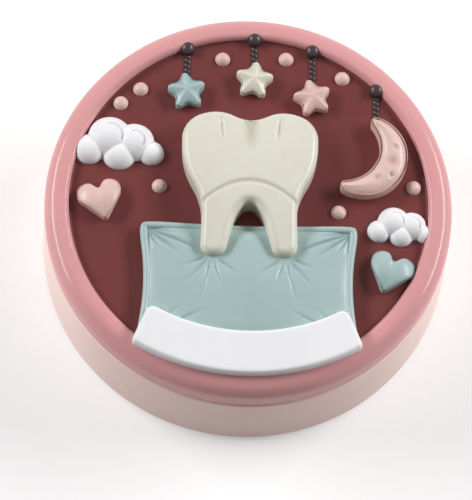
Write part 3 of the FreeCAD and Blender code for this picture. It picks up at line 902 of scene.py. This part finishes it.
class Trees:
    """Geometry node trees for what repeats or follows a line."""

    ROUND = {"Radius": Kind.NUMBER, "Material": Kind.MATERIAL}
    BALL_STEPS = {"Segments": 40, "Rings": 24}
    PIPING_STEPS = 20
    STRAND_STEPS = 14
    TWIST_STEPS = 20

    @staticmethod
    def _start(name: str, inputs: dict[str, Kind]) -> tuple[Tree, bpy.types.NodeOutputs]:
        """Starts a tree that takes and gives geometry, with more inputs by name."""
        shape = {"Geometry": Kind.GEOMETRY}
        return new_group(name, "GeometryNodeTree", shape | inputs, shape)

    @staticmethod
    def _end(tree: Tree, geometry: Socket, material: Socket) -> Tree:
        """Ends a tree in real faces, smooth and painted.

        Args:
            tree: The tree.
            geometry: What it has made.
            material: The paint for that.

        Returns:
            The tree.
        """
        real = add(tree, "GeometryNodeRealizeInstances", {"Geometry": geometry})
        smooth = add(tree, "GeometryNodeSetShadeSmooth", {"Geometry": real.outputs["Geometry"]})
        painted = {"Geometry": smooth.outputs["Geometry"], "Material": material}
        paint = add(tree, "GeometryNodeSetMaterial", painted)
        add(tree, "NodeGroupOutput", {"Geometry": paint.outputs["Geometry"]})
        return tree

    @classmethod
    def _ball(cls, tree: Tree, radius: Socket) -> Socket:
        """A round ball of a given radius."""
        return add(tree, "GeometryNodeMeshUVSphere", cls.BALL_STEPS | {"Radius": radius}).outputs["Mesh"]

    @staticmethod
    def _bar(tree: Tree, line: Socket, radius: Socket, steps: int, capped: bool) -> Socket:
        """A round bar along a line.

        Args:
            tree: The tree.
            line: The curve that it follows.
            radius: The bar's radius.
            steps: How many faces go round it.
            capped: Whether its ends are closed.

        Returns:
            The bar's mesh.
        """
        ring = add(tree, "GeometryNodeCurvePrimitiveCircle", {"Resolution": steps, "Radius": radius})
        sweep = {"Curve": line, "Profile Curve": ring.outputs["Curve"], "Fill Caps": capped}
        return add(tree, "GeometryNodeCurveToMesh", sweep).outputs["Mesh"]

    @staticmethod
    def _moved(tree: Tree, change: Inputs, *parts: Socket) -> Socket:
        """Joins parts and moves or turns them together.

        Args:
            tree: The tree.
            change: The Translation or the Rotation, by that name.
            *parts: The geometry of each part.

        Returns:
            The moved geometry.
        """
        join = add(tree, "GeometryNodeJoinGeometry")
        for part in parts:
            fill(tree, join, {"Geometry": part})
        whole = {"Geometry": join.outputs["Geometry"]}
        return add(tree, "GeometryNodeTransform", whole | change).outputs["Geometry"]

    @classmethod
    def dots(cls) -> Tree:
        """Round dots, one on each point of the mesh.

        Returns:
            The tree, with the inputs Radius and Material.
        """
        tree, given = cls._start("scattered_dots", cls.ROUND)
        repeated = {"Points": given["Geometry"], "Instance": cls._ball(tree, given["Radius"])}
        balls = add(tree, "GeometryNodeInstanceOnPoints", repeated)
        return cls._end(tree, balls.outputs["Instances"], given["Material"])

    @classmethod
    def piping(cls) -> Tree:
        """A round bead along the closed line of the mesh's edges.

        Returns:
            The tree, with the inputs Radius and Material.
        """
        tree, given = cls._start("piped_edge", cls.ROUND)
        line = add(tree, "GeometryNodeMeshToCurve", {"Mesh": given["Geometry"]})
        bead = cls._bar(tree, line.outputs["Curve"], given["Radius"], cls.PIPING_STEPS, False)
        return cls._end(tree, bead, given["Material"])

    @classmethod
    def twisted_string(cls) -> Tree:
        """Two strands twisted round each other along Y, with a bead at the far end.

        Returns:
            The tree, with inputs for its sizes, its place and its paint.
        """
        sizes = dict.fromkeys(("Length", "Twists", "Strand", "Offset", "Bead", "Bead Lift"), Kind.NUMBER)
        more = {"Start": Kind.VECTOR, "Material": Kind.MATERIAL}
        tree, given = cls._start("twisted_string", sizes | more)
        twist = {
            "Resolution": cls.TWIST_STEPS,
            "Rotations": given["Twists"],
            "Start Radius": given["Offset"],
            "End Radius": given["Offset"],
            "Height": given["Length"],
        }
        helix = add(tree, "GeometryNodeCurveSpiral", twist)
        strand = cls._bar(tree, helix.outputs["Curve"], given["Strand"], cls.STRAND_STEPS, True)
        other = cls._moved(tree, {"Rotation": (0.0, 0.0, math.pi)}, strand)
        laid = cls._moved(tree, {"Rotation": (-math.pi / 2.0, 0.0, 0.0)}, strand, other)
        end = add(tree, "ShaderNodeCombineXYZ", {"Y": given["Length"], "Z": given["Bead Lift"]})
        bead = cls._moved(tree, {"Translation": end.outputs["Vector"]}, cls._ball(tree, given["Bead"]))
        hung = cls._moved(tree, {"Translation": given["Start"]}, laid, bead)
        return cls._end(tree, hung, given["Material"])


def grow(name: str, tree: Tree, points: list[Vector], values: Inputs, closed: bool = False) -> Piece:
    """Runs a geometry node tree on points and keeps its result as a plain mesh.

    Args:
        name: The piece's name.
        tree: The tree.
        points: The points that it starts from.
        values: The values of its named inputs.
        closed: Whether edges join the points into a closed line.

    Returns:
        The piece.
    """
    seed = bpy.data.meshes.new(f"{name}_points")
    count = len(points)
    seed.from_pydata(points, [(i, (i + 1) % count) for i in range(count)] if closed else [], [])
    holder = put(f"{name}_holder", seed)
    modifier = holder.modifiers.new("grow", "NODES")
    modifier.node_group = tree
    for item in tree.interface.items_tree:
        if item.item_type == "SOCKET" and item.in_out == "INPUT" and item.name in values:
            modifier[item.identifier] = values[item.name]
    return new_piece(name, settled(holder, name))


@dataclass(frozen=True)
class PleatFan:
    """Pleats that fan out from one point: the heading and length of each, and the line of all."""

    runs: tuple[tuple[float, float], ...]
    line: tuple[float, float]
    start: float
    ease: float = 1.4
    fall: float = 0.7

    def __call__(self, ahead: np.ndarray, aside: np.ndarray) -> np.ndarray:
        """How deep the pleats are.

        Args:
            ahead: Places from the fan's point along its heading of 0 degrees.
            aside: Places across that.

        Returns:
            Depths.
        """
        reach = np.hypot(ahead, aside)
        heading = np.degrees(np.arctan2(aside, ahead))
        depth = np.zeros_like(ahead)
        for angle, length in self.runs:
            gap = reach * np.radians(heading - angle)
            fade = np.clip(1.0 - reach / length, 0.0, 1.0) * ramp(reach - self.start, self.ease)
            depth = np.maximum(depth, groove_line(gap, *self.line) * fade**self.fall)
        return depth


CORNER_PLEATS = PleatFan(
    runs=((10.0, 7.0), (24.0, 13.0), (40.0, 9.0), (56.0, 7.0), (74.0, 5.0)), line=(0.34, 0.55), start=0.6
)
ROOT_PLEATS = PleatFan(
    runs=((-52.0, 6.5), (-18.0, 8.5), (12.0, 10.5), (40.0, 8.0), (66.0, 6.0)), line=(0.32, 0.42), start=1.2
)


@dataclass
class Pillow:
    """The cast pillow under the tooth's roots, in millimetres: puffed, piped and pleated."""

    lid: Lid
    middle_y: float = -17.5
    width: float = 42.0
    length: float = 24.0
    height: float = 3.6
    crown: float = 160.0
    side_share: float = 0.94
    end_share: float = 0.93
    corner_share: float = 0.035
    corner_power: int = 8
    roll: float = 3.2
    edge: float = 1.5
    sink: float = 0.8
    piping: float = 0.75
    piping_lift: float = 0.1
    piping_steps: int = 120
    root_x: float = 7.2
    root_y: float = 5.4
    dent: float = 0.55
    dent_spread: float = 16.0
    pleat_inset: float = 0.8
    pleat_edge: float = 1.2
    # Painted shade in the pleats.
    shade_gain: float = 2.2
    shade_most: float = 0.8
    steps: tuple[int, int] = (190, 110)

    def place(self, s: np.ndarray, t: np.ndarray) -> tuple[np.ndarray, np.ndarray]:
        """Where a point of the unit square lies on the pillow's plan.

        Args:
            s: Places across, from -1 to 1.
            t: Places along, from -1 to 1.

        Returns:
            The places from the pillow's middle.
        """
        pull = 1.0 - self.corner_share * (s * t) ** self.corner_power
        x = self.width / 2.0 * s * (self.end_share + (1.0 - self.end_share) * t**2) * pull
        y = self.length / 2.0 * t * (self.side_share + (1.0 - self.side_share) * s**2) * pull
        return x, y

    def pleats(self, x: np.ndarray, y: np.ndarray) -> np.ndarray:
        """The depth of the pleats that run in from the corners and out from under the roots.

        Args:
            x: Places across from the pillow's middle.
            y: Places along.

        Returns:
            Depths.
        """
        corner_x = self.width / 2.0 - self.pleat_inset - np.abs(x)
        corner_y = self.length / 2.0 - self.pleat_inset - np.abs(y)
        from_roots = ROOT_PLEATS(self.root_y - y, np.abs(x) - self.root_x)
        return np.maximum(CORNER_PLEATS(corner_x, corner_y), from_roots)

    def levels(self, s: np.ndarray, t: np.ndarray) -> tuple[np.ndarray, np.ndarray]:
        """How high the pillow's top is, and how deep its pleats are there.

        Args:
            s: Places across, from -1 to 1.
            t: Places along, from -1 to 1.

        Returns:
            Levels over the field, and depths of pleats.
        """
        x, y = self.place(s, t)
        side = np.minimum((1.0 - np.abs(s)) * self.width / 2.0, (1.0 - np.abs(t)) * self.length / 2.0)
        inward = np.clip(1.0 - side / self.roll, 0.0, 1.0)
        top = self.height - (x**2 + y**2) / (2.0 * self.crown)
        from_root = (np.abs(x) - self.root_x) ** 2 + (y - self.root_y) ** 2
        dent = self.dent * np.exp(-(from_root / self.dent_spread))
        pleats = self.pleats(x, y) * ramp(side, self.pleat_edge)
        puffed = top - dent - pleats
        return self.edge + (puffed - self.edge) * np.sqrt(np.clip(1.0 - inward**2, 0.0, 1.0)), pleats

    def shell(self) -> Piece:
        """The puffed body of the pillow, closed underneath.

        Returns:
            The piece, with its pleats marked for painted shade.
        """
        columns, rows = self.steps
        s, t = np.meshgrid(np.linspace(-1.0, 1.0, columns + 1), np.linspace(-1.0, 1.0, rows + 1))
        x, y = self.place(s, t)
        level, pleats = self.levels(s, t)
        z = self.lid.field_level + level
        top = np.stack([x, y + self.middle_y, z], axis=-1).reshape(-1, 3) * MM
        across = columns + 1
        border = list(range(across))
        border += [(j + 1) * across + columns for j in range(rows)]
        border += [rows * across + columns - 1 - i for i in range(columns)]
        border += [(rows - 1 - j) * across for j in range(rows - 1)]
        foot = top[border].copy()
        foot[:, 2] = (self.lid.field_level - self.sink) * MM
        faces = []
        for j in range(rows):
            for i in range(columns):
                k = j * across + i
                faces.append((k, k + 1, k + across + 1, k + across))
        low, count = len(top), len(border)
        for i in range(count):
            j = (i + 1) % count
            faces.append((border[i], low + i, low + j, border[j]))
        faces.append(tuple(low + i for i in reversed(range(count))))
        mesh = bpy.data.meshes.new("pillow")
        mesh.from_pydata(np.concatenate([top, foot]).tolist(), [], faces)
        # Painted shade in the pleats, none on the points underneath.
        depth = np.concatenate([pleats.ravel(), np.zeros(count)])
        mark_painted_shade(mesh, depth * self.shade_gain, self.shade_most)
        return new_piece("relief_pillow", mesh)

    def piped_edge(self, shop: PaintShop) -> Piece:
        """The piped edge: a bead that follows the pillow's outline.

        Args:
            shop: The paint shop.

        Returns:
            The piece.
        """
        run = np.linspace(-1.0, 1.0, self.piping_steps)[:-1]
        ones = np.ones_like(run)
        s = np.concatenate([run, ones, -run, -ones])
        t = np.concatenate([-ones, run, ones, -run])
        x, y = self.place(s, t)
        level = self.lid.field_level + self.edge + self.piping_lift
        points = [Vector((a * MM, (b + self.middle_y) * MM, level * MM)) for a, b in zip(x, y)]
        values = {"Radius": self.piping * MM, "Material": shop.material(Slot.MINT)}
        return grow("relief_pillow_piping", Trees.piping(), points, values, closed=True)

    def build(self, shop: PaintShop) -> None:
        """Makes the pillow and its piping and paints them."""
        shop.dress(self.shell(), Slot.MINT, Body.LID, "pillow")
        shop.dress(self.piped_edge(shop), Slot.MINT, Body.LID, "pillow")


@dataclass
class Trimmings:
    """The strings that stars and moon hang from, and the small dots, in millimetres."""

    lid: Lid
    string_radius: float = 0.85
    string_sink: float = 0.35
    strand_share: float = 0.56
    offset_share: float = 0.44
    twist_pitch: float = 2.2
    bead: float = 1.5
    bead_lift_share: float = 0.3
    dot_radius: float = 1.5
    dot_height: float = 1.1
    strings: tuple[tuple[str, tuple[float, float]], ...] = (
        ("string_left", STAR_LEFT),
        ("string_middle", STAR_MIDDLE),
        ("string_right", STAR_RIGHT),
        ("string_moon", MOON_HOOK),
    )
    dots: tuple[tuple[float, float], ...] = (
        on_field(-0.62, 0.68),
        on_field(0.52, 0.78),
        on_field(-0.50, 0.09),
        on_field(0.50, -0.04),
        on_field(-0.16, 0.88),
        on_field(0.20, 0.89),
        on_field(-0.73, 0.59),
        on_field(0.92, 0.12),
    )

    def build(self, shop: PaintShop) -> None:
        """Makes the strings and the dots and paints them.

        Args:
            shop: The paint shop.
        """
        tree = Trees.twisted_string()
        level = self.lid.field_level - self.string_sink
        for node, (x, start) in self.strings:
            length = math.sqrt(self.lid.field_radius**2 - x**2) - start
            values = {
                "Length": length * MM,
                "Twists": length / self.twist_pitch,
                "Strand": self.strand_share * self.string_radius * MM,
                "Offset": self.offset_share * self.string_radius * MM,
                "Bead": self.bead * MM,
                "Bead Lift": (self.string_sink + self.bead * self.bead_lift_share) * MM,
                "Start": (x * MM, start * MM, level * MM),
                "Material": shop.material(Slot.DARK_BROWN),
            }
            piece = grow(f"relief_{node}", tree, [Vector()], values)
            shop.dress(piece, Slot.DARK_BROWN, Body.LID, node)
        ball = (self.dot_radius**2 + self.dot_height**2) / (2.0 * self.dot_height)
        rest = self.lid.field_level + self.dot_height - ball
        points = [Vector((x * MM, y * MM, rest * MM)) for x, y in self.dots]
        values = {"Radius": ball * MM, "Material": shop.material(Slot.BLUSH)}
        shop.dress(grow("relief_dots", Trees.dots(), points, values), Slot.BLUSH, Body.LID, "dots")


@dataclass(frozen=True)
class SoftBox:
    """A long soft box to one side that faces the lid, in metres and watts."""

    name: str
    at: tuple[float, float, float]
    watts: float
    size: tuple[float, float] = (0.7, 0.2)
    aim: tuple[float, float, float] = (0.0, 0.0, 0.03)

    def build(self) -> None:
        """Hangs the lamp and turns it to the lid."""
        data = bpy.data.lights.new(self.name, "AREA")
        data.shape = "RECTANGLE"
        data.size, data.size_y = self.size
        data.energy = self.watts
        lamp = put(self.name, data)
        lamp.location = self.at
        lamp.rotation_mode = "QUATERNION"
        lamp.rotation_quaternion = (Vector(self.aim) - Vector(self.at)).to_track_quat("-Z", "Y")


@dataclass
class Studio:
    """Floor, light and camera, in metres, degrees and the photograph's pixels."""

    fov: float = 10.0
    sensor: float = 36.0
    elevation: float = 68.3
    azimuth: float = -5.0
    roll: float = 6.2
    distance: float = 0.582
    frame: tuple[int, int] = (472, 500)
    origin_at: tuple[float, float] = (244.0, 248.5)
    world_level: float = 0.15
    world_tint: tuple[float, float, float] = (1.0, 0.985, 0.975)
    floor_glow: float = 0.33
    floor_shown: float = 0.72
    floor_bounce: float = 0.68
    floor_reach: float = 3.0
    floor_fade: tuple[float, float] = (0.12, 0.45)
    lamps: tuple[SoftBox, ...] = (
        SoftBox("left_box", (-0.76, 0.25, 0.50), 8.0),
        SoftBox("right_box", (0.76, 0.27, 0.50), 8.5),
    )

    @staticmethod
    def seen(tree: Tree) -> Socket:
        """Tells what the camera, a gloss or a clear piece sees from what only gives light.

        Args:
            tree: The node tree of a material or the world.

        Returns:
            A socket that is 1 where the surface is seen.
        """
        path = add(tree, "ShaderNodeLightPath").outputs
        direct = calculate(tree, "MAXIMUM", path["Is Camera Ray"], path["Is Glossy Ray"])
        return calculate(tree, "MAXIMUM", direct, path["Is Transmission Ray"])

    def openness(self, tree: Tree) -> Socket:
        """Tells the open floor from the floor round the box.

        Args:
            tree: The node tree of the floor's material.

        Returns:
            A socket that rises from 0 near the box to 1 in the open.
        """
        place = add(tree, "ShaderNodeTexCoord").outputs["Object"]
        reach = add(tree, "ShaderNodeVectorMath", {0: place}, operation="LENGTH")
        return soft_step(tree, reach.outputs["Value"], *self.floor_fade)

    def floor_paint(self) -> bpy.types.Material:
        """A pale floor that shows white in the open, keeps a soft shadow and throws back little light.

        Returns:
            The floor's material.
        """
        material = bpy.data.materials.new("floor_white")
        material.use_nodes = True
        tree = material.node_tree
        tree.nodes.remove(tree.nodes["Principled BSDF"])
        bounce = add(tree, "ShaderNodeBsdfDiffuse", {"Color": grey(self.floor_bounce)})
        shown = add(tree, "ShaderNodeBsdfDiffuse", {"Color": grey(self.floor_shown)})
        glow = add(tree, "ShaderNodeEmission", {"Strength": self.floor_glow})
        white = add(tree, "ShaderNodeEmission", {"Strength": 1.0})
        near = add(tree, "ShaderNodeAddShader", {0: shown.outputs["BSDF"], 1: glow.outputs["Emission"]})
        spread = blend(tree, self.openness(tree), near.outputs["Shader"], white.outputs["Emission"])
        surface = blend(tree, self.seen(tree), bounce.outputs["BSDF"], spread)
        fill(tree, tree.nodes["Material Output"], {"Surface": surface})
        return material

    def floor(self) -> None:
        """A wide pale floor."""
        mesh = bpy.data.meshes.new("floor")
        wide = self.floor_reach
        corners = [(-wide, -wide, 0.0), (wide, -wide, 0.0), (wide, wide, 0.0), (-wide, wide, 0.0)]
        mesh.from_pydata(corners, [], [(0, 1, 2, 3)])
        mesh.materials.append(self.floor_paint())
        floor = put("floor", mesh)

    def world(self) -> None:
        """A soft, even surround that shows white behind the floor."""
        world = bpy.data.worlds.new("studio")
        world.use_nodes = True
        tree = world.node_tree
        shade = tree.nodes["Background"]
        fill(tree, shade, {"Color": (*self.world_tint, 1.0), "Strength": self.world_level})
        white = add(tree, "ShaderNodeBackground", {"Color": grey(1.0), "Strength": 1.0})
        surface = blend(tree, self.seen(tree), shade.outputs["Background"], white.outputs["Background"])
        fill(tree, tree.nodes["World Output"], {"Surface": surface})
        bpy.context.scene.world = world

    def camera(self) -> None:
        """The camera at the photograph's view."""
        data = bpy.data.cameras.new("camera")
        data.sensor_width = self.sensor
        data.lens = self.sensor / 2.0 / math.tan(math.radians(self.fov / 2.0))
        longest = max(self.frame)
        data.shift_x = (self.frame[0] / 2.0 - self.origin_at[0]) / longest
        data.shift_y = (self.origin_at[1] - self.frame[1] / 2.0) / longest
        camera = put("camera", data)
        up, round_ = math.radians(self.elevation), math.radians(self.azimuth)
        back = Vector((math.sin(round_) * math.cos(up), -math.cos(round_) * math.cos(up), math.sin(up)))
        camera.location = back * self.distance
        camera.rotation_mode = "QUATERNION"
        tilt = Quaternion((0.0, 0.0, 1.0), math.radians(self.roll))
        camera.rotation_quaternion = (-back).to_track_quat("-Z", "Y") @ tilt
        bpy.context.scene.camera = camera

    def build(self) -> None:
        """Sets up the whole studio."""
        self.floor()
        self.world()
        for lamp in self.lamps:
            lamp.build()
        self.camera()
        bpy.context.scene.view_settings.view_transform = "Standard"


def main() -> None:
    """Builds the box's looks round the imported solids."""
    logging.basicConfig(level=logging.INFO)
    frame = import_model()
    shop = PaintShop()
    lid = Lid()
    BaseCup().build(shop)
    lid.build(shop)
    Relief(lid).build(shop, frame["nodes"])
    Pillow(lid).build(shop)
    Trimmings(lid).build(shop)
    Studio().build()


if __name__ == "__main__":
    main()
